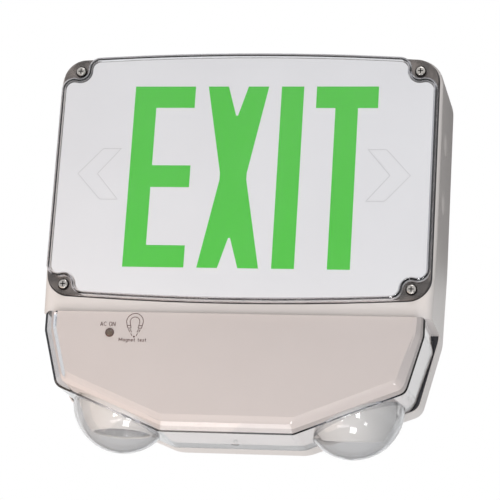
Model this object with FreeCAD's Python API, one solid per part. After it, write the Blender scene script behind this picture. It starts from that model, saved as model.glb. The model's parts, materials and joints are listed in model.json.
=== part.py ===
import FreeCAD, Part
import math
import os

# Emergency exit light for wet places: a wall housing, a clear cover over a lettered sign face,
# and a clear lower cover whose two domes each hold a lamp head that swivels and tilts.
# Millimetres, +Z up, the sign faces -Y. The origin is the centre of the junction-box screw
# pattern on the back face, which goes against the wall at Y = 0.

# Driving dimensions of the housing
BODY_DEPTH = 90.0        # wall to the front of the sign face
WALL = 3.0
SIDE_FRONT = 164.5       # half width at the front
SIDE_DRAFT = 1.8         # how much each side grows from the lip to the back
CROWN = 112.2            # half height of the housing's bowed top at the lip
BOW_RADIUS = 2350.0      # bow of the top and bottom edges
BOW_HALF_ANGLE = 2.8     # degrees of bow each side of the centre
LEDGE_Z = -117.0         # underside of the sign box, where the lower cover starts
LOWER_EDGE_Y = -25.0     # front edge of the tray behind the lower cover
FRONT_RADIUS = 6.5       # rounding of the housing's front edge
BACK_RADIUS = 1.6

# Planes, from the wall forward
FACE_Y = -BODY_DEPTH
COVER_FRONT_Y = FACE_Y - 5.0
EAR_FRONT_Y = FACE_Y + 1.5
COVER_REAR_Y = FACE_Y + 6.0
LIP_Y = FACE_Y + 5.0     # front of the housing, round the sign cover
SEAT_Y = FACE_Y + 8.0    # floor of the rebate that holds the sign cover's gasket

# Sign cover
COVER_SIDE = 161.0
COVER_TOP = 109.5        # crown of the bowed top edge above the origin
COVER_BOTTOM = 106.6     # crown of the bowed bottom edge below the origin
EAR_RADIUS = 19.0
REBATE_GAP = 1.1         # play between the cover and the lip round it
SCREW_X = 146.0
SCREW_Z = 94.3
SCALLOP = 7.2            # radius of the hollow round each screw, at the cover's outside
SHOULDER = 10.2          # radius of the shoulders beside each hollow
COVER_WALL = 2.5

# Lower cover and domes
DOME_X = 97.0
DOME_Y = -43.5
DOME_Z = -184.4
DOME_RADIUS = 42.8
LOWER_WALL = 2.4
LOWER_SEAM_Y = -24.0     # where the lower cover meets its gasket, inside the tray's edge
GASKET_THICK = 2.0
TRAY_LIP = 1.0           # wall of the tray outside its gasket rebate

# Lamp heads
BALL_RADIUS = 36.0
BALL_WALL = 2.0
MOUTH_DEPTH = 24.0       # ball centre to the plane of its mouth
YOKE_GAP = 0.6
YOKE_WALL = 2.0
YOKE_WIDTH = 10.0
PIN_RADIUS = 2.0
STUD_RADIUS = 3.5
RUNNING = 0.05
HEAD_TILTS = {"left": 0.0, "right": 12.0}   # degrees that each lamp leans back to the wall
BRACKET_Z = -142.0
BRACKET_THICK = 1.5
BRACKET_SCREW_X = 60.0
SWIVEL_GAP = 0.3

parts = {}


def vec(x, y, z):
    return FreeCAD.Vector(x, y, z)


def unit(dx, dz):
    length = math.hypot(dx, dz)
    return dx / length, dz / length


def box(x0, x1, y0, y1, z0, z1):
    return Part.makeBox(x1 - x0, y1 - y0, z1 - z0, vec(x0, y0, z0))


def cyl_y(x, z, radius, y0, y1):
    return Part.makeCylinder(radius, y1 - y0, vec(x, y0, z), vec(0, 1, 0))


def cyl_z(x, y, radius, z0, z1):
    return Part.makeCylinder(radius, z1 - z0, vec(x, y, z0), vec(0, 0, 1))


def both_sides(corners):
    """Corner list of the right half, top to bottom, closed with its mirror image."""
    mirror = [(-x, z, r) for x, z, r in reversed(corners) if x > 0]
    return corners + mirror


def inset(corners, distance):
    """Move every edge of a convex clockwise outline inward, and tighten its corners to suit."""
    moved = []
    count = len(corners)
    for i in range(count):
        x, z, radius = corners[i]
        before, after = corners[i - 1], corners[(i + 1) % count]
        ax, az = unit(x - before[0], z - before[1])
        bx, bz = unit(after[0] - x, after[1] - z)
        # inward normals of a clockwise outline seen from -Y
        nx, nz = az + bz, -ax - bx
        scale = distance / (1.0 + ax * bx + az * bz)
        moved.append((x + nx * scale, z + nz * scale, max(radius - distance, 0.3)))
    return moved


def wire(corners, y):
    """Closed outline in a plane facing -Y. Each corner is (x, z, fillet radius)."""
    runs = []
    count = len(corners)
    for i in range(count):
        x, z, radius = corners[i]
        before, after = corners[i - 1], corners[(i + 1) % count]
        ax, az = unit(before[0] - x, before[1] - z)
        bx, bz = unit(after[0] - x, after[1] - z)
        if radius <= 0:
            runs.append((vec(x, y, z), None, vec(x, y, z)))
            continue
        half = math.acos(max(-1.0, min(1.0, ax * bx + az * bz))) / 2.0
        reach = radius / math.tan(half)
        mx, mz = unit(ax + bx, az + bz)
        to_mid = radius / math.sin(half) - radius
        runs.append((vec(x + ax * reach, y, z + az * reach),
                     vec(x + mx * to_mid, y, z + mz * to_mid),
                     vec(x + bx * reach, y, z + bz * reach)))
    edges = []
    for i in range(count):
        start, middle, end = runs[i]
        if middle is not None:
            edges.append(Part.Arc(start, middle, end).toShape())
        following = runs[(i + 1) % count][0]
        if (following - end).Length > 1e-6:
            edges.append(Part.LineSegment(end, following).toShape())
    return Part.Wire(edges)


def slab(corners, y0, y1):
    return Part.Face(wire(corners, y0)).extrude(vec(0, y1 - y0, 0))


def loft(*sections):
    return Part.makeLoft([wire(corners, y) for corners, y in sections], True, True)


def bowed_top(half_width, crown, radius):
    """Top crown vertex and right shoulder vertex of an outline with a gently bowed top."""
    angle = math.radians(BOW_HALF_ANGLE)
    peak = crown + BOW_RADIUS * (1.0 / math.cos(angle) - 1.0)
    return [(0.0, peak, BOW_RADIUS), (half_width, peak - half_width * math.tan(angle), radius)]


def cover_frame(grow):
    """Rounded rectangle of the sign cover's flange, with bowed top and bottom, grown all round."""
    half, radius = COVER_SIDE + grow, EAR_RADIUS + grow
    top = bowed_top(half, COVER_TOP + grow, radius)
    low = [(x, -z, r) for x, z, r in reversed(bowed_top(half, COVER_BOTTOM + grow, radius))]
    return top + low + [(-x, z, r) for x, z, r in (low[0], top[1])]


def housing_outline(grow):
    """Whole housing seen from the front: bowed top, straight sides, half-octagon bottom."""
    side = SIDE_FRONT + grow
    right = bowed_top(side, CROWN + grow, 22.5 + grow)
    right += [
        (side, -58.0, 400.0),
        (side - 1.6, -121.0, 30.0),
        (148.4 + 0.8 * grow, -180.6, 12.0),
        (55.7, -217.5, 30.0),
    ]
    return both_sides(right)


def tray_outline():
    """Housing outline at the front edge of the tray behind the lower cover."""
    return housing_outline(SIDE_DRAFT * (1.0 - LOWER_EDGE_Y / LIP_Y))


# Outlines of the clear lower cover, front to back
LOWER_FRONT = both_sides([(150.4, -118.6, 3.0), (150.2, -133.0, 12.0),
                          (138.6, -174.6, 8.0), (53.4, -209.6, 10.0)])
LOWER_RIM = both_sides([(158.6, -117.3, 4.0), (158.5, -134.0, 12.0),
                        (145.6, -180.9, 10.0), (55.5, -217.4, 10.0)])
LOWER_SEAM = both_sides([(160.0, -117.3, 4.0), (159.8, -132.0, 14.0),
                         (146.4, -180.3, 14.0), (55.6, -217.6, 20.0)])
PANEL_FACE = both_sides([(151.2, -117.3, 1.0), (150.4, -131.0, 8.0),
                         (137.4, -169.0, 6.0), (55.0, -202.4, 6.0)])
PANEL_EDGE = both_sides([(154.0, -117.3, 1.0), (153.6, -132.6, 8.0),
                         (141.6, -175.4, 8.0), (54.6, -210.6, 8.0)])
PANEL_BACK = both_sides([(155.0, -117.3, 1.0), (154.6, -132.6, 8.0),
                         (142.4, -176.4, 8.0), (54.4, -212.0, 8.0)])
PANEL_FACE_Y = FACE_Y + 0.6
PANEL_EDGE_Y = FACE_Y + 6.0
PANEL_BACK_Y = LOWER_SEAM_Y - 3.0
PANEL_WALL = 2.0


def screw_corners():
    return [(sx * SCREW_X, sz * SCREW_Z) for sx in (-1, 1) for sz in (-1, 1)]


def dome_ball(side, radius):
    return Part.makeSphere(radius, vec(side * DOME_X, DOME_Y, DOME_Z))


# ---- Rear housing ----------------------------------------------------------------------------

PLUG_Y = -48.0
PLUG_HEIGHTS = {"upper": 43.7, "lower": -7.8}
PLUG_RADIUS = 10.7
PLUG_FACE = 166.8
PLUG_CROWN = 34.0        # radius of the plug's domed face
ENTRY_RADIUS = 11.1
JBOX_SPACING = 88.9
WALL_SCREW_X = 127.0
WALL_SCREW_Z = 63.5
TRAY_POST_X = 100.0
TRAY_POST_Z = 62.0
TRAY_REAR_Y = -60.0
GASKET_RING = (54.0, 61.0)   # inner and outer half size of the foam ring on the back
SEAT_INSET = 0.9             # cover outline to the raised seat that its wall stands on
MOUTH_INSET = 5.4            # cover outline to the opening of the sign box


def screw_boss(x, z):
    """Post under a cover screw, tied to the side and end walls by two ribs."""
    post = cyl_y(x, z, 6.0, SEAT_Y, -WALL)
    side_rib = box(min(x, math.copysign(162.0, x)), max(x, math.copysign(162.0, x)),
                   SEAT_Y, -WALL, z - 1.25, z + 1.25)
    end = math.copysign(106.0, z)
    end_rib = box(x - 1.25, x + 1.25, SEAT_Y, -WALL, min(z, end), max(z, end))
    return post.fuse([side_rib, end_rib])


def square_ring(inner, outer, y0, y1):
    frame = [(outer, outer, 8.0), (outer, -outer, 8.0), (-outer, -outer, 8.0), (-outer, outer, 8.0)]
    return slab(frame, y0, y1).cut(slab(inset(frame, outer - inner), y0, y1))


def rear_housing():
    outer = loft((housing_outline(0.0), LIP_Y), (housing_outline(SIDE_DRAFT), 0.0))
    outer = outer.makeFillet(FRONT_RADIUS, [e for e in outer.Edges if e.BoundBox.YMax < LIP_Y + 0.01])
    outer = outer.makeFillet(BACK_RADIUS, [e for e in outer.Edges if e.BoundBox.YMin > -0.01])
    front_step = box(-200, 200, -100, LOWER_EDGE_Y, -300, LEDGE_Z)
    body = outer.cut(front_step)

    # sign box: gasket rebate round a raised seat, then a thick rim, then the full cavity
    rim_back = SEAT_Y + 8.0
    rebate = slab(cover_frame(REBATE_GAP), LIP_Y - 1, SEAT_Y)
    rebate = rebate.cut(scalloped_slab(SEAT_INSET, COVER_REAR_Y, SEAT_Y))
    mouth = scalloped_slab(MOUTH_INSET, LIP_Y - 1, rim_back)
    cavity = slab(inset(housing_outline(0.0), WALL), rim_back, -WALL)
    above_ledge = box(-200, 200, -100, 0, LEDGE_Z + WALL, 200)
    body = body.cut([rebate, mouth, cavity.common(above_ledge)])

    # tray behind the lower cover, with its own gasket rebate
    under_ledge = box(-200, 200, -100, 0, -300, LEDGE_Z)
    lower_rebate = slab(inset(tray_outline(), TRAY_LIP), LOWER_EDGE_Y - 1,
                        LOWER_SEAM_Y + GASKET_THICK)
    cover_seat = slab(inset(LOWER_SEAM, -0.3), LOWER_EDGE_Y - 1, LOWER_SEAM_Y)
    lower_room = slab(inset(LOWER_SEAM, 3.4), LOWER_EDGE_Y - 1, -WALL)
    body = body.cut([lower_rebate.common(under_ledge), cover_seat.common(under_ledge), lower_room])

    # posts and bosses inside
    bosses = [screw_boss(x, z) for x, z in screw_corners()]
    for sx in (-1, 1):
        for sz in (-1, 1):
            bosses.append(cyl_y(sx * TRAY_POST_X, sz * TRAY_POST_Z, 4.5, TRAY_REAR_Y, -WALL))
    for z in PLUG_HEIGHTS.values():
        bosses.append(Part.makeCylinder(15.0, 9.0, vec(156.0, PLUG_Y, z), vec(1, 0, 0)))
    body = body.fuse(bosses)

    # screw pilots, wire passages and everything that opens through the walls
    holes = [cyl_y(x, z, 1.7, SEAT_Y - 1, SEAT_Y + 22) for x, z in screw_corners()]
    for sx in (-1, 1):
        for sz in (-1, 1):
            holes.append(cyl_y(sx * TRAY_POST_X, sz * TRAY_POST_Z, 1.3, TRAY_REAR_Y - 1, -40))
            holes.append(cyl_y(sx * WALL_SCREW_X, sz * WALL_SCREW_Z, 2.6, -10, 1))
        holes.append(cyl_y(sx * JBOX_SPACING / 2, 0, 2.5, -10, 1))
        holes.append(box(sx * 70 - 10, sx * 70 + 10, -20, -WALL, LEDGE_Z - 1, LEDGE_Z + WALL + 1))
        passage = dome_ball(sx, DOME_RADIUS + 0.4).common(box(-200, 200, -100, -3.2, -300, LEDGE_Z))
        holes.append(passage)
    holes += [cyl_y(x, BRACKET_Z + 9, 2.0, -10, -1.0) for x in (-BRACKET_SCREW_X, BRACKET_SCREW_X)]
    holes.append(cyl_y(0, 0, ENTRY_RADIUS, -10, 1))
    holes.append(square_ring(*GASKET_RING, -2.0, 1.0))
    for z in PLUG_HEIGHTS.values():
        holes.append(Part.makeCylinder(PLUG_RADIUS, 30, vec(150, PLUG_Y, z), vec(1, 0, 0)))
    return body.cut(holes)


def wall_gasket():
    """Foam ring that seals the junction box, pressed flush into the back face."""
    return square_ring(*GASKET_RING, -2.0, 0.0)


def conduit_plug(z):
    """Blanking plug in the side wall: a hollow body with a shallow domed face."""
    body = Part.makeCylinder(PLUG_RADIUS, 20.0, vec(155.0, PLUG_Y, z), vec(1, 0, 0))
    dome = Part.makeSphere(PLUG_CROWN, vec(PLUG_FACE - PLUG_CROWN, PLUG_Y, z))
    hollow = Part.makeCylinder(PLUG_RADIUS - 2.2, 8.0, vec(154.5, PLUG_Y, z), vec(1, 0, 0))
    return body.common(dome).cut(hollow)


# ---- Sign cover ------------------------------------------------------------------------------

def scallop_corner(crown, depth_in):
    """Points of one corner of the raised outline, from the straight side to the bowed end.

    They are (start, middle, end) of the side shoulder, the hollow and the end shoulder, which share
    their ends, and then the end of the bow. depth_in moves the outline inward about the same centres.
    """
    reach = SHOULDER + SCALLOP
    angle = math.radians(BOW_HALF_ANGLE)
    normal = (math.sin(angle), math.cos(angle))
    bow_centre = crown - BOW_RADIUS

    # shoulder centres: one beside the straight side, one under the sloping end of the bow
    side_x = COVER_SIDE - SHOULDER
    side_c = (side_x, SCREW_Z - math.sqrt(reach ** 2 - (side_x - SCREW_X) ** 2))
    offset = (BOW_RADIUS - SHOULDER) - (normal[0] * SCREW_X + normal[1] * (SCREW_Z - bow_centre))
    along = math.sqrt(reach ** 2 - offset ** 2)
    end_c = (SCREW_X + normal[0] * offset - normal[1] * along,
             SCREW_Z + normal[1] * offset + normal[0] * along)

    def on_circle(centre, radius, direction):
        ux, uz = unit(*direction)
        return centre[0] + ux * radius, centre[1] + uz * radius

    def between(a, b):
        return a[0] + b[0], a[1] + b[1]

    screw_c = (SCREW_X, SCREW_Z)
    to_side = unit(side_c[0] - SCREW_X, side_c[1] - SCREW_Z)
    to_end = unit(end_c[0] - SCREW_X, end_c[1] - SCREW_Z)
    from_side, from_end = (-to_side[0], -to_side[1]), (-to_end[0], -to_end[1])
    shoulder, hollow = SHOULDER - depth_in, SCALLOP + depth_in
    return [
        on_circle(side_c, shoulder, (1, 0)),
        on_circle(side_c, shoulder, between((1, 0), from_side)),
        on_circle(screw_c, hollow, to_side),
        on_circle(screw_c, hollow, between(to_side, to_end)),
        on_circle(screw_c, hollow, to_end),
        on_circle(end_c, shoulder, between(from_end, normal)),
        on_circle(end_c, shoulder, normal),
        on_circle((0, bow_centre), BOW_RADIUS - depth_in, normal),
    ]


def scalloped(depth_in, y):
    """Closed outline of the cover's raised part, hollowed round each corner screw."""
    edges = []
    side_points = {}
    for sz, crown in ((1, COVER_TOP), (-1, COVER_BOTTOM)):
        corner = scallop_corner(crown, depth_in)
        for sx in (1, -1):
            points = [vec(sx * x, y, sz * z) for x, z in corner]
            edges += [Part.Arc(*points[i:i + 3]).toShape() for i in (0, 2, 4)]
            if (points[7] - points[6]).Length > 1e-6:
                edges.append(Part.LineSegment(points[6], points[7]).toShape())
            side_points[sx, sz] = points
        peak = vec(0, y, sz * (crown - depth_in))
        edges.append(Part.Arc(side_points[1, sz][7], peak, side_points[-1, sz][7]).toShape())
    for sx in (1, -1):
        edges.append(Part.LineSegment(side_points[sx, 1][0], side_points[sx, -1][0]).toShape())
    return Part.Wire(Part.__sortEdges__(edges))


def scalloped_slab(depth_in, y0, y1):
    return Part.Face(scalloped(depth_in, y0)).extrude(vec(0, y1 - y0, 0))


def upper_cover():
    """Clear moulding: raised scalloped pan, and a flange that forms the four screw ears."""
    soft = 1.6
    pan = scalloped_slab(0.0, COVER_FRONT_Y + soft, COVER_REAR_Y)
    crown = Part.makeLoft([scalloped(soft, COVER_FRONT_Y),
                           scalloped(0.45 * soft, COVER_FRONT_Y + 0.45 * soft),
                           scalloped(0.0, COVER_FRONT_Y + soft)], True, True)
    flange = slab(cover_frame(0.0), EAR_FRONT_Y, COVER_REAR_Y)
    cover = pan.fuse([crown, flange])
    room = scalloped_slab(COVER_WALL, COVER_FRONT_Y + COVER_WALL, COVER_REAR_Y + 1)
    holes = [cyl_y(x, z, 2.3, COVER_FRONT_Y - 1, COVER_REAR_Y + 1) for x, z in screw_corners()]
    return cover.cut([room] + holes)


def upper_gasket():
    """Rubber ring in the rebate, filling the corners under the cover's ears."""
    ring = slab(cover_frame(REBATE_GAP - 0.1), COVER_REAR_Y, SEAT_Y)
    holes = [cyl_y(x, z, 2.3, COVER_REAR_Y - 1, SEAT_Y + 1) for x, z in screw_corners()]
    return ring.cut([scalloped_slab(SEAT_INSET - 0.1, COVER_REAR_Y - 1, SEAT_Y + 1)] + holes)


def cross_recess(x, z, y0, depth):
    arm = box(x - 2.2, x + 2.2, y0, y0 + depth, z - 0.45, z + 0.45)
    return arm.fuse(box(x - 0.45, x + 0.45, y0, y0 + depth, z - 2.2, z + 2.2))


def cover_screw(x, z):
    """M4 pan head screw, seated on its washer."""
    head_y = EAR_FRONT_Y - 0.8
    head = cyl_y(x, z, 4.0, head_y - 2.6, head_y)
    head = head.makeFillet(1.1, [e for e in head.Edges if abs(e.BoundBox.YMin - (head_y - 2.6)) < 1e-3
                                 and e.Closed and e.BoundBox.YLength < 1e-3])
    shank = cyl_y(x, z, 1.7, head_y, SEAT_Y + 14)
    return head.fuse(shank).cut(cross_recess(x, z, head_y - 2.7, 1.5))


def screw_washer(x, z):
    return cyl_y(x, z, 4.9, EAR_FRONT_Y - 0.8, EAR_FRONT_Y).cut(cyl_y(x, z, 2.0, -100, -80))


# ---- Sign face and its light -----------------------------------------------------------------

CHEVRON_TIP = 141.3
CHEVRON_Z = 2.5
CHEVRON_REACH = 20.6
CHEVRON_RISE = 22.5
CHEVRON_BAND = 15.5
CHEVRON_NOTCH = 17.0
SCORE_DEPTH = 0.25
FACE_INSET = 3.4         # cover outline to the edge of the sign face
FACE_THICK = 2.0


def chevron(side):
    """Outline of the arrow-head knockout, with its point away from the letters."""
    root = CHEVRON_TIP - CHEVRON_REACH
    back = root - CHEVRON_BAND
    half = [(CHEVRON_TIP, 0.0), (root, CHEVRON_RISE), (back, CHEVRON_RISE),
            (CHEVRON_TIP - CHEVRON_NOTCH, 0.0), (back, -CHEVRON_RISE), (root, -CHEVRON_RISE)]
    return [(side * x, CHEVRON_Z + z, 0.0) for x, z in half]


def sign_face():
    """White face pan that carries the legend, with the two arrow knockouts scored round."""
    plate = scalloped_slab(FACE_INSET, FACE_Y, COVER_REAR_Y)
    plate = plate.cut(scalloped_slab(FACE_INSET + 1.5, FACE_Y + FACE_THICK, COVER_REAR_Y + 1))
    return plate.cut([slab(chevron(side), FACE_Y - 1, FACE_Y + 3) for side in (-1, 1)])


def chevron_knockout(side):
    return slab(chevron(side), FACE_Y + SCORE_DEPTH, FACE_Y + FACE_THICK)


def rounded_rect(half_x, half_z, radius):
    return [(half_x, half_z, radius), (half_x, -half_z, radius),
            (-half_x, -half_z, radius), (-half_x, half_z, radius)]


DIFFUSER_Y = FACE_Y + FACE_THICK
DIFFUSER_THICK = 1.6
TRAY_FRONT_Y = DIFFUSER_Y + DIFFUSER_THICK
TRAY_HALF_X = 126.0
TRAY_HALF_Z = 90.0
TRAY_WALL = 1.8
LED_ROWS = (-45.0, 0.0, 45.0)
LED_PITCH = 24.0


def green_diffuser():
    return slab(rounded_rect(TRAY_HALF_X, TRAY_HALF_Z, 6.0), DIFFUSER_Y, TRAY_FRONT_Y)


def light_tray():
    """White box behind the diffuser that mixes the light; it sits on the housing's four posts."""
    outline = rounded_rect(TRAY_HALF_X, TRAY_HALF_Z, 6.0)
    tray = loft((outline, TRAY_FRONT_Y), (inset(outline, 8.0), TRAY_REAR_Y))
    room = loft((inset(outline, TRAY_WALL), TRAY_FRONT_Y),
                (inset(outline, 8.0 + TRAY_WALL), TRAY_REAR_Y - TRAY_WALL))
    holes = [cyl_y(sx * TRAY_POST_X, sz * TRAY_POST_Z, 1.6, -70, -50)
             for sx in (-1, 1) for sz in (-1, 1)]
    return tray.cut([room] + holes)


def tray_screw(x, z):
    y = TRAY_REAR_Y - TRAY_WALL
    return cyl_y(x, z, 2.8, y - 1.8, y).fuse(cyl_y(x, z, 1.3, y, y + 12))


def sign_led_board():
    y = TRAY_REAR_Y - TRAY_WALL
    return slab(rounded_rect(88.0, 54.0, 3.0), y - 1.6, y)


def sign_leds():
    y = TRAY_REAR_Y - TRAY_WALL - 1.6
    return [box(x - 1.75, x + 1.75, y - 0.9, y, z - 1.4, z + 1.4)
            for z in LED_ROWS for x in [LED_PITCH * n for n in range(-3, 4)]]


# ---- Lower cover and inner panel -------------------------------------------------------------

def open_topped(corners):
    """Inner outline of the lower cover's wall, with no wall along the housing's ledge."""
    walled = inset(corners, LOWER_WALL)
    return [(x, LEDGE_Z + 5.0 if z > LEDGE_Z - 10.0 else z, radius) for x, z, radius in walled]


def lower_cover():
    """Clear half-octagon shell, bevelled in front, with a dome bulging from each lower slope."""
    outer = loft((LOWER_FRONT, COVER_FRONT_Y), (LOWER_RIM, COVER_FRONT_Y + 5.0),
                 (LOWER_SEAM, LOWER_SEAM_Y))
    room = loft((open_topped(LOWER_FRONT), COVER_FRONT_Y + LOWER_WALL),
                (open_topped(LOWER_RIM), COVER_FRONT_Y + 5.0 + LOWER_WALL),
                (open_topped(LOWER_SEAM), LOWER_SEAM_Y + 0.3),
                (open_topped(LOWER_SEAM), 5.0))
    domes = [dome_ball(side, DOME_RADIUS) for side in (-1, 1)]
    hollows = [dome_ball(side, DOME_RADIUS - LOWER_WALL) for side in (-1, 1)]
    below_ledge = box(-200, 200, -200, -WALL - 0.3, -300, LEDGE_Z - 0.3)
    shell = outer.fuse(domes).common(below_ledge)
    for tool in [room] + hollows:
        shell = shell.cut(tool)
    return shell.cut(cyl_z(0, SCREW_BOSS_Y, 3.4, -230, -205))


SCREW_BOSS_Y = -44.0


def lower_gasket():
    """Rubber ring between the lower cover and the housing; it shows along the side slopes."""
    y0, y1 = LOWER_SEAM_Y, LOWER_SEAM_Y + GASKET_THICK
    ring = slab(inset(tray_outline(), TRAY_LIP + 0.1), y0, y1)
    ring = ring.common(box(-200, 200, y0, y1, -300, LEDGE_Z))
    ring = ring.cut([slab(inset(LOWER_SEAM, 3.2), y0, y1)]
                    + [dome_ball(side, DOME_RADIUS + 0.4) for side in (-1, 1)])
    pieces = sorted(ring.Solids, key=lambda solid: -solid.Volume)
    return pieces


def inner_panel():
    """White inner cover: flat face with bevelled sides, open where the lamp heads sit."""
    outer = loft((PANEL_FACE, PANEL_FACE_Y), (PANEL_EDGE, PANEL_EDGE_Y), (PANEL_BACK, PANEL_BACK_Y))
    room = loft((inset(PANEL_FACE, PANEL_WALL), PANEL_FACE_Y + PANEL_WALL),
                (inset(PANEL_EDGE, PANEL_WALL), PANEL_EDGE_Y + PANEL_WALL),
                (inset(PANEL_BACK, PANEL_WALL), PANEL_BACK_Y + 0.5))
    clear = [dome_ball(side, DOME_RADIUS - LOWER_WALL - 1.0) for side in (-1, 1)]
    panel = outer.cut([room] + clear)
    boss = cyl_z(0, SCREW_BOSS_Y, 5.0, -211.5, -195.0)
    panel = panel.fuse(boss).cut(cyl_z(0, SCREW_BOSS_Y, 1.7, -215, -197))
    return panel.cut(cyl_y(AC_X, AC_Z, 2.6, -100, -80))


AC_X = -102.8
AC_Z = -135.2


def lower_cover_screw():
    """Captive screw that pulls the lower cover up against the inner panel."""
    head = cyl_z(0, SCREW_BOSS_Y, 3.2, -217.4, -215.2)
    shank = cyl_z(0, SCREW_BOSS_Y, 1.7, -215.2, -199.0)
    slot = box(-2.4, 2.4, SCREW_BOSS_Y - 0.5, SCREW_BOSS_Y + 0.5, -218.0, -216.4)
    return head.fuse(shank).cut(slot)


def ac_indicator():
    """Small lamp that shows mains power: a shallow domed lens in a round bezel."""
    bezel = cyl_y(AC_X, AC_Z, 3.7, PANEL_FACE_Y - 0.7, PANEL_FACE_Y)
    lens = cyl_y(AC_X, AC_Z, 2.5, PANEL_FACE_Y - 2.0, PANEL_FACE_Y + 5.0)
    lens = lens.common(Part.makeSphere(7.0, vec(AC_X, PANEL_FACE_Y + 5.4, AC_Z)))
    collar = cyl_y(AC_X, AC_Z, 3.2, PANEL_FACE_Y + PANEL_WALL, PANEL_FACE_Y + 4.0)
    return lens.fuse([bezel, collar])


def status_board():
    """Board behind the panel that carries the mains lamp and the magnetic test switch."""
    y = PANEL_FACE_Y + 5.0
    return box(-112, -68, y, y + 1.6, -143, -123)


def reed_switch():
    y = PANEL_FACE_Y + 3.6
    tube = Part.makeCylinder(1.1, 15.0, vec(-89.5, y, -128.0), vec(1, 0, 0))
    feet = [box(x - 0.4, x + 0.4, y, y + 1.4, -128.4, -127.6) for x in (-88.5, -75.5)]
    return tube.fuse(feet)


# ---- Lamp heads ------------------------------------------------------------------------------

def revolved(points):
    """Solid of revolution about the lamp's own axis. Points are (radius, height)."""
    corners = [vec(r, 0, h) for r, h in points]
    face = Part.Face(Part.makePolygon(corners + [corners[0]]))
    return face.revolve(vec(0, 0, 0), vec(0, 0, 1), 360)


def seat_in_dome(shape, side, tilt):
    """Place a lamp piece, made about the ball's centre and facing straight down."""
    shape.rotate(vec(0, 0, 0), vec(1, 0, 0), tilt)
    shape.translate(vec(side * DOME_X, DOME_Y, DOME_Z))
    return shape


MOUTH_RADIUS = math.sqrt(BALL_RADIUS ** 2 - MOUTH_DEPTH ** 2)
LENS_RADIUS = 24.2
REFLECTOR_FLANGE = LENS_RADIUS + 0.3


def head_shell():
    """White ball with a flat mouth, a wire hole on top and a hole for each pivot pin."""
    ball = Part.makeSphere(BALL_RADIUS).cut(Part.makeSphere(BALL_RADIUS - BALL_WALL))
    ball = ball.cut(box(-50, 50, -50, 50, -50, -MOUTH_DEPTH))
    ball = ball.cut(cyl_z(0, 0, REFLECTOR_FLANGE, -MOUTH_DEPTH - 1, -MOUTH_DEPTH + 2))
    pin = Part.makeCylinder(PIN_RADIUS, 100, vec(-50, 0, 0), vec(1, 0, 0))
    return ball.cut([pin, cyl_z(0, 0, 5.0, 20, 50)])


def head_bezel():
    """Rounded ring that closes the mouth and holds the lens."""
    low = -MOUTH_DEPTH - 2.6
    return revolved([(LENS_RADIUS - 0.9, low + 0.5), (LENS_RADIUS - 0.2, low), (MOUTH_RADIUS - 2.2, low),
                     (MOUTH_RADIUS - 0.7, low + 1.0), (MOUTH_RADIUS, -MOUTH_DEPTH),
                     (LENS_RADIUS, -MOUTH_DEPTH), (LENS_RADIUS, low + 1.1), (LENS_RADIUS - 0.9, low + 1.1)])


def head_lens():
    low = -MOUTH_DEPTH - 1.5
    return revolved([(0.0, low), (LENS_RADIUS, low), (LENS_RADIUS, low + 1.4), (0.0, low + 1.8)])


REFLECTOR_RIM = 23.6
REFLECTOR_NECK = 8.5
FLUTES = 36


def head_reflector():
    """Bright bowl whose inside wall is fluted near the rim."""
    rim_z, neck_z = -MOUTH_DEPTH, -MOUTH_DEPTH + 17.0
    bowl = revolved([(REFLECTOR_RIM, rim_z), (REFLECTOR_RIM - 4.5, rim_z + 9.0), (REFLECTOR_NECK, neck_z),
                     (REFLECTOR_NECK, neck_z + 1.2), (REFLECTOR_RIM - 3.8, rim_z + 10.0),
                     (REFLECTOR_RIM, rim_z + 0.6), (REFLECTOR_FLANGE, rim_z + 0.6),
                     (REFLECTOR_FLANGE, rim_z)])
    flutes = []
    for n in range(FLUTES):
        rib = box(REFLECTOR_RIM - 5.0, REFLECTOR_RIM + 0.4, -0.35, 0.35, rim_z, rim_z + 7.5)
        rib.rotate(vec(0, 0, 0), vec(0, 0, 1), 360.0 * n / FLUTES)
        flutes.append(rib)
    inside = revolved([(0.0, rim_z), (REFLECTOR_RIM - 1.2, rim_z), (REFLECTOR_RIM - 5.5, rim_z + 9.0),
                       (0.0, rim_z + 9.0)])
    fins = Part.makeCompound(flutes).cut(inside)
    return bowl.fuse(fins.Solids)


def head_led():
    """Round board across the reflector's neck with one domed emitter."""
    top = -MOUTH_DEPTH + 18.2
    board = cyl_z(0, 0, 12.0, top, top + 1.6)
    emitter = Part.makeSphere(3.0, vec(0, 0, top)).common(box(-5, 5, -5, 5, top - 5, top))
    return board.fuse(emitter)


def yoke():
    """Half ring over the ball, with a stud on top that turns in the bracket."""
    inner = BALL_RADIUS + YOKE_GAP
    outer = inner + YOKE_WALL
    ring = Part.makeCylinder(outer, YOKE_WIDTH, vec(0, -YOKE_WIDTH / 2, 0), vec(0, 1, 0))
    ring = ring.cut(Part.makeCylinder(inner, YOKE_WIDTH, vec(0, -YOKE_WIDTH / 2, 0), vec(0, 1, 0)))
    ring = ring.cut(box(-50, 50, -50, 50, -50, 0))
    ears = [Part.makeCylinder(YOKE_WIDTH / 2, YOKE_WALL * 0.75, vec(x, 0, 0), vec(1, 0, 0))
            for x in (inner, -inner - YOKE_WALL * 0.75)]
    stud_base = BRACKET_Z - DOME_Z
    collar = cyl_z(0, 0, 7.0, outer - 0.6, stud_base - SWIVEL_GAP)
    stud = cyl_z(0, 0, STUD_RADIUS, outer - 0.6, stud_base + BRACKET_THICK + 5.0)
    pin = Part.makeCylinder(PIN_RADIUS + RUNNING, 100, vec(-50, 0, 0), vec(1, 0, 0))
    return ring.fuse(ears + [collar, stud]).cut(pin)


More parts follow.
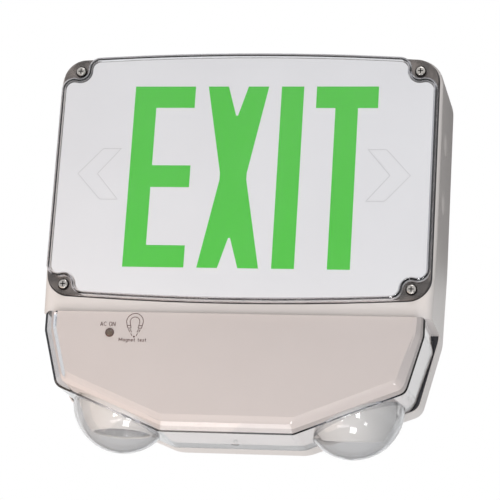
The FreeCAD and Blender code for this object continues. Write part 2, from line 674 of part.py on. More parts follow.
def swivel_nut():
    base = BRACKET_Z - DOME_Z + BRACKET_THICK + SWIVEL_GAP
    hexagon = [vec(7.0 * math.cos(math.radians(60 * n)), 7.0 * math.sin(math.radians(60 * n)), base)
               for n in range(7)]
    nut = Part.Face(Part.makePolygon(hexagon)).extrude(vec(0, 0, 3.2))
    return nut.cut(cyl_z(0, 0, STUD_RADIUS, base - 1, base + 5))


def pivot_pins():
    start = BALL_RADIUS - BALL_WALL - 1.0
    length = BALL_RADIUS + YOKE_GAP + YOKE_WALL + 0.3 - start
    return [Part.makeCylinder(PIN_RADIUS, length, vec(x, 0, 0), vec(1, 0, 0))
            for x in (start, -start - length)]


def lamp_bracket():
    """Folded steel shelf that carries both yokes, screwed to the housing's back."""
    shelf = box(-128, 128, DOME_Y - 14, -WALL, BRACKET_Z, BRACKET_Z + BRACKET_THICK)
    flange = box(-128, 128, -WALL - BRACKET_THICK, -WALL, BRACKET_Z, BRACKET_Z + 16)
    holes = [cyl_z(side * DOME_X, DOME_Y, STUD_RADIUS + RUNNING, BRACKET_Z - 5, BRACKET_Z + 5)
             for side in (-1, 1)]
    holes += [cyl_y(x, BRACKET_Z + 9, 2.0, -10, 0) for x in (-BRACKET_SCREW_X, BRACKET_SCREW_X)]
    middle = box(-60, 60, DOME_Y - 20, -12, BRACKET_Z - 1, BRACKET_Z + 3)
    return shelf.fuse(flange).cut(holes + [middle])


def bracket_screws():
    y = -WALL - BRACKET_THICK
    return [cyl_y(x, BRACKET_Z + 9, 3.2, y - 1.8, y).fuse(cyl_y(x, BRACKET_Z + 9, 2.0, y, -1.0))
            for x in (-BRACKET_SCREW_X, BRACKET_SCREW_X)]


# ---- Electrics in the sign box ---------------------------------------------------------------

BOARD_Y = -12.0
BOARD_X = (-90.0, -18.0)
BOARD_Z = (14.0, 98.0)


def charger_board():
    """Charger and transfer board on four moulded spacers."""
    board = box(*BOARD_X, BOARD_Y, BOARD_Y + 1.6, *BOARD_Z)
    spacers = [cyl_y(x, z, 3.0, BOARD_Y + 1.6, -WALL)
               for x in (BOARD_X[0] + 6, BOARD_X[1] - 6) for z in (BOARD_Z[0] + 6, BOARD_Z[1] - 6)]
    return board.fuse(spacers)


def board_transformer():
    """Small mains transformer: wound bobbin through a laminated core."""
    core = box(-80, -46, BOARD_Y - 24, BOARD_Y, 56, 86)
    bobbin = box(-74, -52, BOARD_Y - 28, BOARD_Y - 1, 51, 91)
    return core.fuse(bobbin)


def board_capacitors():
    spots = ((-76, 32, 6.3, 20), (-60, 32, 6.3, 20), (-46, 28, 4.0, 12), (-36, 28, 4.0, 12))
    return [cyl_y(x, z, r, BOARD_Y - tall, BOARD_Y) for x, z, r, tall in spots]


def terminal_block():
    """Three-way screw terminal for the mains wires, beside the wire entry."""
    block = box(-15, 15, -16, -WALL, -44, -30)
    holes = [cyl_y(x, -37, 2.2, -17, -9) for x in (-9, 0, 9)]
    return block.cut(holes)


BATTERY_Z = -88.0
BATTERY_RADIUS = 11.5
BATTERY_LENGTH = 130.0
BATTERY_Y = -WALL - BATTERY_RADIUS - 0.2


def battery_pack():
    """Three cells end to end in one shrink sleeve."""
    start = vec(-BATTERY_LENGTH / 2, BATTERY_Y, BATTERY_Z)
    cells = Part.makeCylinder(BATTERY_RADIUS, BATTERY_LENGTH, start, vec(1, 0, 0))
    return cells.makeFillet(1.5, [e for e in cells.Edges if e.Closed and e.BoundBox.XLength < 1e-3])


def battery_saddle(x):
    """Moulded saddle that holds the battery to the back of the housing."""
    half = 6.0
    arch = Part.makeCylinder(BATTERY_RADIUS + 2.0, 2 * half, vec(x - half, BATTERY_Y, BATTERY_Z),
                             vec(1, 0, 0))
    legs = box(x - half, x + half, BATTERY_Y, -WALL, BATTERY_Z - 13.5, BATTERY_Z + 13.5)
    feet = box(x - half, x + half, -WALL - 2.0, -WALL, BATTERY_Z - 22, BATTERY_Z + 22)
    behind = box(x - 50, x + 50, -WALL, 20, BATTERY_Z - 30, BATTERY_Z + 30)
    room = Part.makeCylinder(BATTERY_RADIUS, 40, vec(x - 20, BATTERY_Y, BATTERY_Z), vec(1, 0, 0))
    slot = box(x - 20, x + 20, BATTERY_Y, 0, BATTERY_Z - BATTERY_RADIUS, BATTERY_Z + BATTERY_RADIUS)
    return arch.fuse([legs, feet]).cut([behind, room, slot])


# ---- Assembly --------------------------------------------------------------------------------

def add(name, shape):
    parts[name] = shape if isinstance(shape, list) else [shape]


add("rear_housing", rear_housing())
add("wall_gasket", wall_gasket())
for level, height in PLUG_HEIGHTS.items():
    add("conduit_plug_" + level, conduit_plug(height))
add("upper_cover", upper_cover())
add("upper_gasket", upper_gasket())
add("cover_screws", [cover_screw(x, z) for x, z in screw_corners()])
add("screw_washers", [screw_washer(x, z) for x, z in screw_corners()])
add("sign_face", sign_face())
add("green_diffuser", green_diffuser())
add("light_tray", light_tray())
add("tray_screws", [tray_screw(sx * TRAY_POST_X, sz * TRAY_POST_Z) for sx in (-1, 1) for sz in (-1, 1)])
add("sign_led_board", sign_led_board())
add("sign_leds", sign_leds())
add("lower_cover", lower_cover())
add("lower_gasket", lower_gasket())
add("lower_cover_screw", lower_cover_screw())
add("inner_panel", inner_panel())
add("ac_indicator", ac_indicator())
add("status_board", status_board())
add("reed_switch", reed_switch())
add("lamp_bracket", lamp_bracket())
add("bracket_screws", bracket_screws())
add("charger_board", charger_board())
add("board_transformer", board_transformer())
add("board_capacitors", board_capacitors())
add("terminal_block", terminal_block())
add("battery_pack", battery_pack())
add("battery_saddles", [battery_saddle(x) for x in (-40, 40)])

HEAD_PIECES = {
    "head_shell": head_shell,
    "head_bezel": head_bezel,
    "head_lens": head_lens,
    "head_reflector": head_reflector,
    "head_led": head_led,
}
for hand, side in (("left", -1), ("right", 1)):
    add(hand + "_chevron", chevron_knockout(side))
    for piece, make in HEAD_PIECES.items():
        add(hand + "_" + piece, seat_in_dome(make(), side, HEAD_TILTS[hand]))
    add(hand + "_pivot_pins", [seat_in_dome(pin, side, HEAD_TILTS[hand]) for pin in pivot_pins()])
    add(hand + "_yoke", seat_in_dome(yoke(), side, 0.0))
    add(hand + "_swivel_nut", seat_in_dome(swivel_nut(), side, 0.0))

os.makedirs("parts", exist_ok=True)
for name, solids in parts.items():
    shape = solids[0] if len(solids) == 1 else Part.makeCompound(solids)
    if not shape.isValid() or not shape.Solids:
        print("not a valid solid:", name)
    shape.exportStep("parts/" + name + ".step")
    print(name, len(shape.Solids), round(shape.Volume / 1000.0, 1), "cm3")
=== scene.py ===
import json
import math

import bmesh
import bpy
from mathutils import Matrix, Vector


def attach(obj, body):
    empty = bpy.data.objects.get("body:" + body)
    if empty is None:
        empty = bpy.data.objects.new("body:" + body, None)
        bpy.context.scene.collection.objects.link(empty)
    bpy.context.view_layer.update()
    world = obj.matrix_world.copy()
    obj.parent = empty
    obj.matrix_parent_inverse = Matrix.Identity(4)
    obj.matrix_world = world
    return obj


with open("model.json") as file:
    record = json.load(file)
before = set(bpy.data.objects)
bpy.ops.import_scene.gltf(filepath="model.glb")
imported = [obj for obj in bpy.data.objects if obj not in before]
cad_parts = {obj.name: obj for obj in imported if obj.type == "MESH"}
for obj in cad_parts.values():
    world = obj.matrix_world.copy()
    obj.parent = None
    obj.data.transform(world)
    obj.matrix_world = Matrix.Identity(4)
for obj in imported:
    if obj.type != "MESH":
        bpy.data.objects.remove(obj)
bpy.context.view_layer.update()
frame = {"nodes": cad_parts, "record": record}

# Millimetres, in the frame of the solids: +Z up, the sign faces -Y
MM = 0.001
FACE_Y = -90.0                  # front of the sign face
PANEL_Y = FACE_Y + 0.6          # front of the inner panel
INDICATOR_Y = PANEL_Y - 0.7     # front of the indicator's bezel
SCREW_FRONT_Y = FACE_Y - 1.9
WASHER_FRONT_Y = FACE_Y + 0.7
DOME_CENTRE = (97.0 * MM, -43.5 * MM, -184.4 * MM)
DOME_REACH = 43.6 * MM          # just outside the domes' outer radius
FROST_FROM = -88.8 * MM         # just in front of the sign cover's screw ears


# ---- Materials -------------------------------------------------------------------------------

def new_material(name, color, roughness, **extra):
    """Principled material. Returns (material, node tree, shader)."""
    mat = bpy.data.materials.new(name)
    mat.use_nodes = True
    shader = mat.node_tree.nodes["Principled BSDF"]
    shader.inputs["Base Color"].default_value = (*color, 1.0)
    shader.inputs["Roughness"].default_value = roughness
    for key, value in extra.items():
        shader.inputs[key.replace("_", " ")].default_value = value
    return mat, mat.node_tree, shader


def math_node(tree, operation, first, second=None):
    """Math node between a socket and a second socket or a number. Returns its output."""
    node = tree.nodes.new("ShaderNodeMath")
    node.operation = operation
    tree.links.new(first, node.inputs[0])
    if isinstance(second, float):
        node.inputs[1].default_value = second
    elif second is not None:
        tree.links.new(second, node.inputs[1])
    return node.outputs["Value"]


def object_axes(tree):
    """X, Y and Z outputs of a node's own coordinates, in metres."""
    coords = tree.nodes.new("ShaderNodeTexCoord")
    split = tree.nodes.new("ShaderNodeSeparateXYZ")
    tree.links.new(coords.outputs["Object"], split.inputs["Vector"])
    return split.outputs


def mix_shaders(tree, share, first, second):
    """The first shader where share is 0, the second where it is 1."""
    mix = tree.nodes.new("ShaderNodeMixShader")
    tree.links.new(share, mix.inputs["Fac"])
    tree.links.new(first, mix.inputs[1])
    tree.links.new(second, mix.inputs[2])
    return mix.outputs["Shader"]


def matt(tree, color):
    """Plain diffuse shader."""
    shader = tree.nodes.new("ShaderNodeBsdfDiffuse")
    shader.inputs["Color"].default_value = (*color, 1.0)
    return shader.outputs["BSDF"]


def noise(tree, scale, detail=3.0, roughness=0.55, stretch=None):
    """Noise texture in a node's own coordinates."""
    nodes, links = tree.nodes, tree.links
    coords = nodes.new("ShaderNodeTexCoord")
    source = coords.outputs["Object"]
    if stretch:
        mapping = nodes.new("ShaderNodeMapping")
        mapping.inputs["Scale"].default_value = stretch
        links.new(source, mapping.inputs["Vector"])
        source = mapping.outputs["Vector"]
    tex = nodes.new("ShaderNodeTexNoise")
    tex.inputs["Scale"].default_value = scale
    tex.inputs["Detail"].default_value = detail
    tex.inputs["Roughness"].default_value = roughness
    links.new(source, tex.inputs["Vector"])
    return tex


def vary_color(tree, shader, tex, low, high):
    """Base colour that wanders between two colours."""
    ramp = tree.nodes.new("ShaderNodeValToRGB")
    ramp.color_ramp.elements[0].position = 0.3
    ramp.color_ramp.elements[1].position = 0.7
    ramp.color_ramp.elements[0].color = (*low, 1.0)
    ramp.color_ramp.elements[1].color = (*high, 1.0)
    tree.links.new(tex.outputs["Fac"], ramp.inputs["Fac"])
    tree.links.new(ramp.outputs["Color"], shader.inputs["Base Color"])


def vary_roughness(tree, shader, tex, low, high):
    """Roughness that wanders between two values."""
    span = tree.nodes.new("ShaderNodeMapRange")
    span.inputs["To Min"].default_value = low
    span.inputs["To Max"].default_value = high
    tree.links.new(tex.outputs["Fac"], span.inputs["Value"])
    tree.links.new(span.outputs["Result"], shader.inputs["Roughness"])


def bump(tree, shader, tex, distance, strength=0.3):
    """Fine relief, distance metres deep."""
    node = tree.nodes.new("ShaderNodeBump")
    node.inputs["Distance"].default_value = distance
    node.inputs["Strength"].default_value = strength
    tree.links.new(tex.outputs["Fac"], node.inputs["Height"])
    tree.links.new(node.outputs["Normal"], shader.inputs["Normal"])


def plastic(name, color, roughness, spread=0.02, specular=0.5, grain=900.0, depth=0.00006):
    """Moulded plastic: a faint cloudiness in the colour and a fine moulded grain."""
    mat, tree, shader = new_material(name, color, roughness, Specular_IOR_Level=specular)
    cloud = noise(tree, 9.0, 4.0)
    low = tuple(max(c - spread, 0.0) for c in color)
    high = tuple(min(c + spread, 1.0) for c in color)
    vary_color(tree, shader, cloud, low, high)
    fine = noise(tree, grain, 2.0)
    vary_roughness(tree, shader, fine, roughness - 0.05, roughness + 0.07)
    bump(tree, shader, fine, depth)
    return mat


def dome_haze(tree, surface, amount):
    """Mixes a light grey haze into a clear surface where it belongs to either dome."""
    axes = object_axes(tree)
    place = tree.nodes.new("ShaderNodeCombineXYZ")
    tree.links.new(math_node(tree, "ABSOLUTE", axes["X"]), place.inputs["X"])
    tree.links.new(axes["Y"], place.inputs["Y"])
    tree.links.new(axes["Z"], place.inputs["Z"])
    away = tree.nodes.new("ShaderNodeVectorMath")
    away.operation = "DISTANCE"
    away.inputs[1].default_value = DOME_CENTRE
    tree.links.new(place.outputs["Vector"], away.inputs[0])
    inside = math_node(tree, "LESS_THAN", away.outputs["Value"], DOME_REACH)
    share = math_node(tree, "MULTIPLY", inside, amount)
    return mix_shaders(tree, share, surface, matt(tree, HAZE_GREY))


def frosting(tree, surface, start_y, amount):
    """Mixes an uneven light frosting into a clear surface behind start_y (metres)."""
    behind = math_node(tree, "GREATER_THAN", object_axes(tree)["Y"], start_y)
    patches = tree.nodes.new("ShaderNodeMapRange")
    patches.inputs["From Min"].default_value = 0.35
    patches.inputs["From Max"].default_value = 0.65
    patches.inputs["To Min"].default_value = 0.4 * amount
    patches.inputs["To Max"].default_value = 1.6 * amount
    tree.links.new(noise(tree, 60.0, 2.0).outputs["Fac"], patches.inputs["Value"])
    share = math_node(tree, "MULTIPLY", behind, patches.outputs["Result"])
    return mix_shaders(tree, share, surface, matt(tree, FROST_BEIGE))


def clear_plastic(name, tint, shade, frost_behind=None, frost=0.0, ior=1.49, haze=0.0):
    """Clear moulding that refracts what is behind it, with a faint blue tinge where it is thick.

    Studio light passes straight through to what is inside, dimmed by shade. Behind frost_behind
    (metres along Y) the moulding carries a light frosting, as on the seats under the cover screws.
    """
    mat, tree, shader = new_material(name, tint, 0.01, Transmission_Weight=1.0, IOR=ior,
                                     Specular_IOR_Level=0.3)
    nodes, links = tree.nodes, tree.links
    bump(tree, shader, noise(tree, 30.0, 2.0), 0.00001, 0.1)
    surface = shader.outputs["BSDF"]
    if haze:
        surface = dome_haze(tree, surface, haze)
    if frost_behind is not None:
        surface = frosting(tree, surface, frost_behind, frost)
    passing = nodes.new("ShaderNodeBsdfTransparent")
    passing.inputs["Color"].default_value = (*shade, 1.0)
    path = nodes.new("ShaderNodeLightPath")
    lighting = math_node(tree, "MAXIMUM", path.outputs["Is Shadow Ray"], path.outputs["Is Diffuse Ray"])
    surface = mix_shaders(tree, lighting, surface, passing.outputs["BSDF"])
    links.new(surface, nodes["Material Output"].inputs["Surface"])
    body = nodes.new("ShaderNodeVolumeAbsorption")
    body.inputs["Color"].default_value = (*BODY_BLUE, 1.0)
    body.inputs["Density"].default_value = BODY_DENSITY
    links.new(body.outputs["Volume"], nodes["Material Output"].inputs["Volume"])
    return mat


def reflector_rib_shading(name, dark, bright, pitch):
    """Mirror-finish plastic with the painted light and shade of fine ribs: dark and bright stripes in
    its colour, pitch metres apart along X.
    """
    mat, tree, shader = new_material(name, bright, 0.12, Metallic=1.0)
    turns = math_node(tree, "MULTIPLY", object_axes(tree)["X"], 2.0 * math.pi / pitch)
    rib_shade = tree.nodes.new("ShaderNodeMapRange")
    rib_shade.inputs["From Min"].default_value = -1.0
    tree.links.new(math_node(tree, "SINE", turns), rib_shade.inputs["Value"])
    mix = tree.nodes.new("ShaderNodeMix")
    mix.data_type = "RGBA"
    mix.inputs["A"].default_value = (*dark, 1.0)
    mix.inputs["B"].default_value = (*bright, 1.0)
    tree.links.new(rib_shade.outputs["Result"], mix.inputs["Factor"])
    tree.links.new(mix.outputs["Result"], shader.inputs["Base Color"])
    return mat


def metal(name, color, roughness, stretch=None):
    """Metal with a fine, slightly uneven finish, brushed along an axis where stretch is given."""
    mat, tree, shader = new_material(name, color, roughness, Metallic=1.0)
    fine = noise(tree, 500.0, 3.0, stretch=stretch)
    vary_roughness(tree, shader, fine, roughness - 0.06, roughness + 0.1)
    bump(tree, shader, fine, 0.00003, 0.2)
    return mat


HAZE_GREY = (0.60, 0.59, 0.58)
FROST_BEIGE = (0.66, 0.58, 0.54)
BODY_BLUE = (0.30, 0.48, 0.80)      # tinge of thick clear plastic
BODY_DENSITY = 16.0                 # how soon it shows, per metre
# Spacing of the painted light and dark stripes on the reflector
RIB_SHADE_PITCH = 1.9 * MM

MATERIALS = {
    "housing_white": plastic("housing", (0.73, 0.69, 0.67), 0.34, specular=0.35),
    "face_white": plastic("face", (0.85, 0.845, 0.855), 0.5, specular=0.3),
    "tray_white": plastic("tray", (0.82, 0.81, 0.80), 0.5),
    "panel_white": plastic("panel", (0.82, 0.725, 0.68), 0.45, specular=0.3),
    "head_white": plastic("head", (0.80, 0.78, 0.76), 0.42),
    "legend_green": plastic("legend", (0.05, 0.60, 0.02), 0.5, spread=0.01, specular=0.1),
    "indicator_smoke": plastic("indicator", (0.11, 0.055, 0.02), 0.25, spread=0.01),
    "clear_cover": clear_plastic("clear", (0.97, 0.97, 0.97), (0.97, 0.97, 0.97), ior=1.15),
    "gasket_black": plastic("gasket", (0.015, 0.014, 0.016), 0.6, spread=0.004),
    "foam_grey": plastic("foam", (0.05, 0.05, 0.055), 0.9, spread=0.01),
    "screw_steel": metal("steel", (0.42, 0.40, 0.38), 0.15),
    "bracket_steel": metal("zinc", (0.62, 0.63, 0.64), 0.35, stretch=(1.0, 8.0, 8.0)),
    # Painted shade and painted highlight of the reflector's ribs, as stripes along X
    "reflector_chrome": reflector_rib_shading("chrome", (0.02, 0.02, 0.025), (0.60, 0.62, 0.65),
                                         RIB_SHADE_PITCH),
    "board_green": plastic("board", (0.03, 0.14, 0.06), 0.35),
    "led_yellow": plastic("led", (0.75, 0.62, 0.2), 0.3),
    "core_grey": plastic("core", (0.08, 0.08, 0.09), 0.5),
    "sleeve_blue": plastic("sleeve", (0.03, 0.08, 0.25), 0.3),
    "terminal_black": plastic("terminal", (0.02, 0.02, 0.02), 0.45),
}

# A few nodes differ a little from the others of their slot
NODE_MATERIALS = {
    "upper_cover": clear_plastic("frosted clear", (0.985, 0.985, 0.985), (0.97, 0.97, 0.97),
                                 frost_behind=FROST_FROM, frost=0.2),
    "lower_gasket": plastic("lower gasket", (0.04, 0.04, 0.045), 0.6),
    "lower_cover": clear_plastic("smoky clear", (0.82, 0.82, 0.82), (0.94, 0.94, 0.94),
                                 haze=0.14),
    "screw_washers": metal("dark steel", (0.10, 0.09, 0.085), 0.35),
}

for sub in frame["record"]["subparts"]:
    node = frame["nodes"][sub["node"]]
    material = NODE_MATERIALS.get(sub["node"], MATERIALS[sub["material_slot"]])
    node.data.materials.clear()
    node.data.materials.append(material)


# ---- Legend and small marks ------------------------------------------------------------------

LETTER_TOP = 80.5
LETTER_BOTTOM = -78.7
STROKE = 19.05
PRINT_AND_SHADE_PROUD = 0.15


def letter_outlines():
    """The four letters as outlines of (x, z) in millimetres on the sign face."""
    top, low = LETTER_TOP, LETTER_BOTTOM
    mid_top, mid_low = 10.2, -8.9
    e_left, e_right = -96.6, -44.4
    letter_e = [(e_left, top), (e_right, top), (e_right, top - STROKE), (e_left + STROKE, top - STROKE),
                (e_left + STROKE, mid_top), (e_right, mid_top), (e_right, mid_low),
                (e_left + STROKE, mid_low), (e_left + STROKE, low + STROKE),
                (e_right, low + STROKE), (e_right, low), (e_left, low)]
    x_mid, x_half, x_foot, x_waist = -7.4, 26.0, 8.6, 11.4
    z_mid, crotch = 0.5 * (top + low), 26.0
    right = [(x_half, top), (x_waist, z_mid + 3), (x_waist, z_mid - 3), (x_half, low), (x_foot, low),
             (0.8, low + crotch), (-0.8, low + crotch)]
    left = [(-x_foot, low), (-x_half, low), (-x_waist, z_mid - 3), (-x_waist, z_mid + 3),
            (-x_half, top), (-x_foot, top), (-0.8, top - crotch), (0.8, top - crotch), (x_foot, top)]
    letter_x = [(x_mid + dx, z) for dx, z in right + left]
    i_left = 29.5
    letter_i = [(i_left, top), (i_left + STROKE, top), (i_left + STROKE, low), (i_left, low)]
    t_left, t_right, stem = 59.4, 111.8, 75.9
    letter_t = [(t_left, top), (t_right, top), (t_right, top - STROKE), (stem + STROKE, top - STROKE),
                (stem + STROKE, low), (stem, low), (stem, top - STROKE), (t_left, top - STROKE)]
    return {"E": letter_e, "X": letter_x, "I": letter_i, "T": letter_t}


def flat_piece(name, outlines, y_front, material):
    """Print or painted shade standing slightly proud of a face that looks along -Y, from (x, z)
    outlines in mm.
    """
    bm = bmesh.new()
    for outline in outlines:
        verts = [bm.verts.new((x * MM, y_front * MM, z * MM)) for x, z in outline]
        face = bm.faces.new(verts)
        grown = bmesh.ops.extrude_face_region(bm, geom=[face])
        moved = [v for v in grown["geom"] if isinstance(v, bmesh.types.BMVert)]
        bmesh.ops.translate(bm, verts=moved, vec=(0, PRINT_AND_SHADE_PROUD * MM, 0))
    bmesh.ops.recalc_face_normals(bm, faces=bm.faces)
    mesh = bpy.data.meshes.new(name)
    bm.to_mesh(mesh)
    bm.free()
    obj = bpy.data.objects.new(name, mesh)
    bpy.context.scene.collection.objects.link(obj)
    mesh.materials.append(material)
    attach(obj, "unit")
    return obj


for letter, outline in letter_outlines().items():
    piece = flat_piece("legend_" + letter, [outline], FACE_Y - PRINT_AND_SHADE_PROUD,
                       MATERIALS["legend_green"])

MAGNET_X, MAGNET_Z = -82.0, -125.7
MAGNET_OUTER, MAGNET_INNER = 7.1, 4.1
TIP_OUTER, TIP_INNER = 5.9, 3.0     # half widths at the magnet's poles
TIP_DROP = 5.4                      # centre of the half round down to the poles
DOT_DROP, DOT_RADIUS = 12.6, 0.8
LINE_WIDTH = 0.55
THIN_LINE = 0.5
LETTER_GAP = 0.28                   # share of the height of a capital
AC_X, AC_Z = -102.8, -135.2
SCREWS = [(side * 146.0, z) for side in (-1, 1) for z in (-94.3, 94.3)]
CHEVRON_TIP, CHEVRON_Z = 141.3, 2.5
CHEVRON_ROOT, CHEVRON_BACK, CHEVRON_NOTCH = 120.7, 105.2, 124.3
CHEVRON_RISE = 22.5
LEGEND_BROWN = plastic("ink", (0.10, 0.02, 0.01), 0.7, spread=0.01, specular=0.1)
# Painted shade for the screws: dark crosses in their recesses and dark rings in the gaps round their
# heads
SHADOW = plastic("shadow line", (0.012, 0.011, 0.011), 0.8, spread=0.004, specular=0.1)
# Painted shade of the knockouts' scored grooves
SCORE_SHADE_GREY = plastic("score", (0.66, 0.655, 0.66), 0.6, spread=0.01, specular=0.2)


def stroke(points, width=LINE_WIDTH):
    """Outline of a line of constant width through the points."""
    left, right = [], []
    count = len(points)
    for n, (x, z) in enumerate(points):
        before, after = points[max(n - 1, 0)], points[min(n + 1, count - 1)]
        along = Vector((after[0] - before[0], after[1] - before[1])).normalized() * width / 2
        left.append((x - along.y, z + along.x))
        right.append((x + along.y, z - along.x))
    return left + right[::-1]


def horseshoe(radius, tip_x):
    """One line of the horseshoe: leg, half round and leg, with the legs leaning inward."""
    arc = [(radius * math.cos(math.radians(a)), radius * math.sin(math.radians(a)))
           for a in range(180, -1, -12)]
    return [(-tip_x, -TIP_DROP)] + arc + [(tip_x, -TIP_DROP)]


def magnet_mark():
    """Plain horseshoe magnet with broken lines running from its poles to a dot."""
    lines = [horseshoe(MAGNET_OUTER, TIP_OUTER), horseshoe(MAGNET_INNER, TIP_INNER)]
    for side in (-1, 1):
        for drop, outer, inner in ((TIP_DROP, TIP_OUTER, TIP_INNER), (3.2, 6.4, 3.5)):
            lines.append([(side * outer, -drop), (side * inner, -drop)])
        for shift in (0.0, 1.5):
            lines.append([(side * (5.0 - shift), -6.4), (side * (3.8 - shift), -8.8)])
        lines.append([(side * 2.9, -9.8), (side * 1.7, -12.0)])
    turns = [math.radians(a) for a in range(0, 360, 30)]
    dot = [(DOT_RADIUS * math.cos(t), -DOT_DROP + DOT_RADIUS * math.sin(t)) for t in turns]
    shapes = [stroke(line) for line in lines] + [dot]
    return [[(MAGNET_X + x, MAGNET_Z + z) for x, z in shape] for shape in shapes]


# width and lines of each letter, as shares of the height of a capital
SINGLE_LINE_LETTERS = {
    " ": (0.30, []),
    "A": (0.75, [[(0.0, 0.0), (0.37, 1.0)], [(0.37, 1.0), (0.75, 0.0)], [(0.15, 0.32), (0.6, 0.32)]]),
    "C": (0.70, [[(0.70, 0.80), (0.45, 1.0), (0.15, 0.85), (0.0, 0.5), (0.15, 0.15), (0.45, 0.0),
                  (0.70, 0.20)]]),
    "M": (0.90, [[(0.0, 0.0), (0.0, 1.0)], [(0.0, 1.0), (0.45, 0.2)], [(0.45, 0.2), (0.9, 1.0)],
                 [(0.9, 1.0), (0.9, 0.0)]]),
    "N": (0.70, [[(0.0, 0.0), (0.0, 1.0)], [(0.0, 1.0), (0.7, 0.0)], [(0.7, 0.0), (0.7, 1.0)]]),
    "O": (0.80, [[(0.4, 1.0), (0.1, 0.85), (0.0, 0.5), (0.1, 0.15), (0.4, 0.0), (0.7, 0.15),
                  (0.8, 0.5), (0.7, 0.85), (0.4, 1.0)]]),
    "a": (0.50, [[(0.5, 0.5), (0.25, 0.66), (0.0, 0.33), (0.25, 0.0), (0.5, 0.15)],
                 [(0.5, 0.68), (0.5, 0.0)]]),
    "e": (0.50, [[(0.0, 0.36), (0.5, 0.36)],
                 [(0.5, 0.36), (0.42, 0.6), (0.2, 0.66), (0.0, 0.36), (0.2, 0.0), (0.48, 0.1)]]),
    "g": (0.50, [[(0.5, 0.5), (0.25, 0.66), (0.0, 0.33), (0.25, 0.0), (0.5, 0.15)],
                 [(0.5, 0.68), (0.5, -0.2), (0.25, -0.3), (0.02, -0.2)]]),
    "n": (0.50, [[(0.0, 0.0), (0.0, 0.68)], [(0.0, 0.45), (0.25, 0.66), (0.5, 0.45), (0.5, 0.0)]]),
    "s": (0.42, [[(0.42, 0.55), (0.2, 0.66), (0.02, 0.5), (0.4, 0.2), (0.2, 0.0), (0.0, 0.1)]]),
    "t": (0.34, [[(0.14, 0.95), (0.14, 0.12), (0.34, 0.0)], [(0.0, 0.64), (0.34, 0.64)]]),
}


def printed_words(words, x_mid, z_base, width, cap_height):
    """Outlines of small single-line words of the given width and capital height in mm."""
    lines, pen = [], 0.0
    for letter in words:
        advance, shapes = SINGLE_LINE_LETTERS[letter]
        lines += [[(pen + x, z) for x, z in shape] for shape in shapes]
        pen += advance + LETTER_GAP
    stretch = width / (pen - LETTER_GAP)
    placed = [[(x_mid - width / 2 + x * stretch, z_base + z * cap_height) for x, z in line]
              for line in lines]
    return [stroke(line, THIN_LINE) for line in placed]


def ring_line(x_mid, z_mid, radius, width):
    """Outline of a narrow round band."""
    turns = [math.radians(a) for a in range(0, 361, 15)]
    return stroke([(x_mid + radius * math.cos(t), z_mid + radius * math.sin(t)) for t in turns], width)


def cross_lines(x_mid, z_mid, reach, width):
    """Outlines of the two bars of a cross."""
    return [stroke([(x_mid - reach, z_mid), (x_mid + reach, z_mid)], width),
            stroke([(x_mid, z_mid - reach), (x_mid, z_mid + reach)], width)]


def score_shade_lines(side):
    """Painted shade along the scored outline of one arrow-head knockout on the sign face: grey lines
    where its groove lies in shade.
    """
    points = [(CHEVRON_TIP, 0.0), (CHEVRON_ROOT, CHEVRON_RISE), (CHEVRON_BACK, CHEVRON_RISE),
              (CHEVRON_NOTCH, 0.0), (CHEVRON_BACK, -CHEVRON_RISE), (CHEVRON_ROOT, -CHEVRON_RISE)]
    placed = [(side * x, CHEVRON_Z + z) for x, z in points]
    return [stroke([a, b], THIN_LINE) for a, b in zip(placed, placed[1:] + placed[:1])]


# Painted shade: grey lines where the knockouts' scored grooves lie in shade
for hand, side in (("left", -1), ("right", 1)):
    flat_piece(hand + "_score_shade", score_shade_lines(side), FACE_Y - 0.4 * PRINT_AND_SHADE_PROUD, SCORE_SHADE_GREY)
flat_piece("magnet_mark", magnet_mark(), PANEL_Y - PRINT_AND_SHADE_PROUD, LEGEND_BROWN)
flat_piece("words_ac_on", printed_words("AC ON", -104.9, -129.6, 12.6, 3.5),
           PANEL_Y - PRINT_AND_SHADE_PROUD, LEGEND_BROWN)
flat_piece("words_test", printed_words("Magnet test", -83.0, -142.4, 23.0, 2.9),
           PANEL_Y - PRINT_AND_SHADE_PROUD, LEGEND_BROWN)
flat_piece("indicator_rim", [ring_line(AC_X, AC_Z, 3.3, 0.7)], INDICATOR_Y - PRINT_AND_SHADE_PROUD,
           LEGEND_BROWN)
# Painted shade: a dark cross set into each screw head's cross recess, where shade falls
flat_piece("screw_slot_shade", [bar for x, z in SCREWS for bar in cross_lines(x, z, 2.2, 0.9)],
           SCREW_FRONT_Y + 0.3, SHADOW)
# Painted shade: a dark ring on each washer, in the gap round the screw head
flat_piece("screw_ring_shade", [ring_line(x, z, 4.45, 0.8) for x, z in SCREWS],
           WASHER_FRONT_Y - PRINT_AND_SHADE_PROUD, SHADOW)


# ---- Studio ----------------------------------------------------------------------------------

FLOOR_Z = -1.9
AIM = Vector((0.0, -0.08, -0.12))
WHITE = (1.0, 1.0, 1.0)
WARM = (1.0, 0.80, 0.66)
ROOM_LIGHT = 0.38       # strength of the world where it lights the object


def softbox(name, azimuth, elevation, distance, size, power, color=WHITE):
    """Lamp of (width, height) aimed at the lower cover. Azimuth runs from the front towards +X."""
    turn, rise = math.radians(azimuth), math.radians(elevation)
    away = Vector((math.sin(turn) * math.cos(rise), -math.cos(turn) * math.cos(rise), math.sin(rise)))
    data = bpy.data.lights.new(name, "AREA")
    data.shape = "RECTANGLE"
    data.size, data.size_y = size
    data.energy = power
    data.color = color
    lamp = bpy.data.objects.new(name, data)
    lamp.location = AIM + away * distance
    lamp.rotation_euler = away.to_track_quat("Z", "Y").to_euler()
    bpy.context.scene.collection.objects.link(lamp)


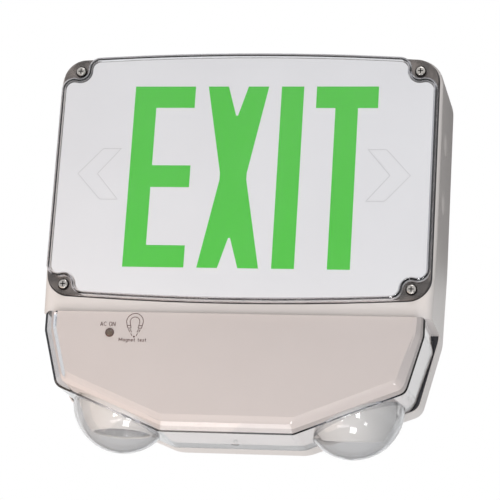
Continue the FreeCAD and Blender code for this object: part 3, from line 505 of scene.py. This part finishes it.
def studio_world():
    """White where it is seen, directly or in a gloss or through clear plastic, and softer as light."""
    world = bpy.data.worlds.new("studio")
    world.use_nodes = True
    bpy.context.scene.world = world
    nodes, links = world.node_tree.nodes, world.node_tree.links
    background = nodes["Background"]
    background.inputs["Color"].default_value = (*WHITE, 1.0)
    background.inputs["Strength"].default_value = ROOM_LIGHT
    seen = nodes.new("ShaderNodeBackground")
    seen.inputs["Color"].default_value = (*WHITE, 1.0)
    seen.inputs["Strength"].default_value = 1.0
    path = nodes.new("ShaderNodeLightPath")
    direct = path.outputs["Is Camera Ray"]
    for kind in ("Is Glossy Ray", "Is Transmission Ray"):
        direct = math_node(world.node_tree, "MAXIMUM", direct, path.outputs[kind])
    mixed = mix_shaders(world.node_tree, direct, background.outputs["Background"],
                        seen.outputs["Background"])
    links.new(mixed, nodes["World Output"].inputs["Surface"])


def studio_floor():
    """Pale floor well below the lens, so it only bounces light up onto the object."""
    bpy.ops.mesh.primitive_plane_add(size=12.0, location=(0, 0, FLOOR_Z))
    floor = bpy.context.object
    floor.name = "floor"
    mat, _, _ = new_material("floor", (0.85, 0.85, 0.85), 0.9)
    floor.data.materials.append(mat)


def studio_flag():
    """Dark card beside and behind the upper right side, out of shot, that keeps that wall in shade."""
    bpy.ops.mesh.primitive_plane_add(size=1.0, location=(0.30, 0.75, 0.72))
    flag = bpy.context.object
    flag.name = "flag"
    flag.scale = (1.1, 1.7, 1.0)
    flag.rotation_mode = "YXZ"
    flag.rotation_euler = (math.radians(17.0), math.radians(90.0), 0.0)
    mat, _, _ = new_material("flag", (0.02, 0.02, 0.02), 0.9)
    flag.data.materials.append(mat)
    flag.visible_camera = False
    flag.visible_transmission = False


studio_world()
studio_floor()
studio_flag()
softbox("key", 5.0, 48.0, 2.0, (0.60, 0.60), 8.6)
softbox("front_low_left", -17.0, -41.0, 1.2, (0.15, 0.15), 1.3)
softbox("strip", -17.5, -54.0, 1.3, (0.60, 0.14), 0.8)
softbox("low", 20.0, -62.0, 1.5, (0.32, 0.32), 5.5)
softbox("right", 51.0, -41.0, 1.5, (0.16, 0.16), 1.0)
softbox("front", 25.0, -29.0, 1.5, (0.20, 0.20), 4.0)
softbox("warm_bounce", -50.0, -35.0, 0.60, (0.60, 0.60), 1.7, WARM)


# ---- Camera ----------------------------------------------------------------------------------

CAMERA_AT = Vector((0.3457, -1.8603, -0.5621))
CAMERA_TARGET = Vector((0.0053, -0.0612, -0.0545))
CAMERA_ROLL = math.radians(3.62)
CAMERA_LENS = 162.67

camera_data = bpy.data.cameras.new("camera")
camera_data.sensor_width = 36.0
camera_data.lens = CAMERA_LENS
camera_data.clip_end = 50.0
camera = bpy.data.objects.new("camera", camera_data)
aimed = (CAMERA_TARGET - CAMERA_AT).to_track_quat("-Z", "Y").to_matrix().to_4x4()
camera.matrix_world = Matrix.Translation(CAMERA_AT) @ aimed @ Matrix.Rotation(CAMERA_ROLL, 4, "Z")
bpy.context.scene.collection.objects.link(camera)
bpy.context.scene.camera = camera
bpy.context.scene.view_settings.view_transform = "Standard"
